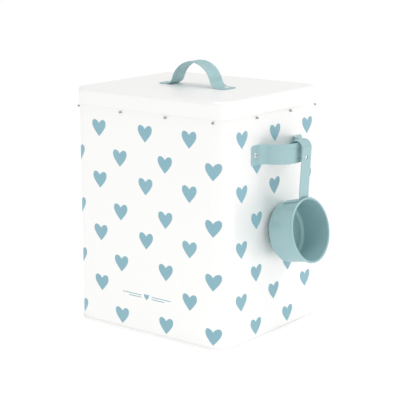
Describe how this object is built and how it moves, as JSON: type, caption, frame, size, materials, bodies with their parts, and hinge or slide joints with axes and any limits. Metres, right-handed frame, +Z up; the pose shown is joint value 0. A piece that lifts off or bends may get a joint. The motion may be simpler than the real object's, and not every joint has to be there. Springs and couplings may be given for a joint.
{
  "type": "storage tin with lid and hanging scoop",
  "caption": "Tall rounded-rectangular painted steel tin with a heart print, a slip-over lid with a bow handle, and a cup scoop hung from a bow on its side.",
  "frame": {"origin": "middle of the tin's underside, in the plane that it stands on", "axes": "+Z up, -Y towards the front face, +X towards the side that the scoop hangs on"},
  "size_m": [0.2605, 0.185, 0.2941],
  "materials": {
    "white_enamel": "satin powder coat with a printed pattern",
    "teal_enamel": "satin powder coat",
    "rivet_metal": "bright rivet",
    "mandrel_steel": "broken steel stub",
    "bare_pin": "dull bare steel"
  },
  "bodies": {
    "tin": {"body_wall": "white_enamel", "base_pan": "white_enamel", "side_handle": "teal_enamel", "side_handle_rivet_front": "rivet_metal", "side_handle_rivet_rear": "rivet_metal", "side_handle_mandrel_front": "mandrel_steel", "side_handle_mandrel_rear": "mandrel_steel", "lid_stop_01": "bare_pin", "lid_stop_02": "bare_pin", "lid_stop_03": "bare_pin", "lid_stop_04": "bare_pin", "lid_stop_05": "bare_pin", "lid_stop_06": "bare_pin", "lid_stop_07": "bare_pin", "lid_stop_08": "bare_pin", "lid_stop_09": "bare_pin", "lid_stop_10": "bare_pin", "lid_stop_11": "bare_pin", "lid_stop_12": "bare_pin"},
    "lid": {"lid_shell": "white_enamel", "lid_handle": "teal_enamel", "lid_handle_rivet_left": "rivet_metal", "lid_handle_rivet_right": "rivet_metal", "lid_handle_mandrel_left": "mandrel_steel", "lid_handle_mandrel_right": "mandrel_steel"},
    "scoop": {"scoop_cup": "teal_enamel", "scoop_handle": "teal_enamel"}
  },
  "joints": [
    {"name": "lid_lift", "type": "slide", "parent": "tin", "child": "lid", "axis": [0, 0, 1], "range_m": [0, 0.12]},
    {"name": "scoop_lift", "type": "slide", "parent": "tin", "child": "scoop", "axis": [0, 0, 1], "range_m": [0, 0.035]}
  ]
}
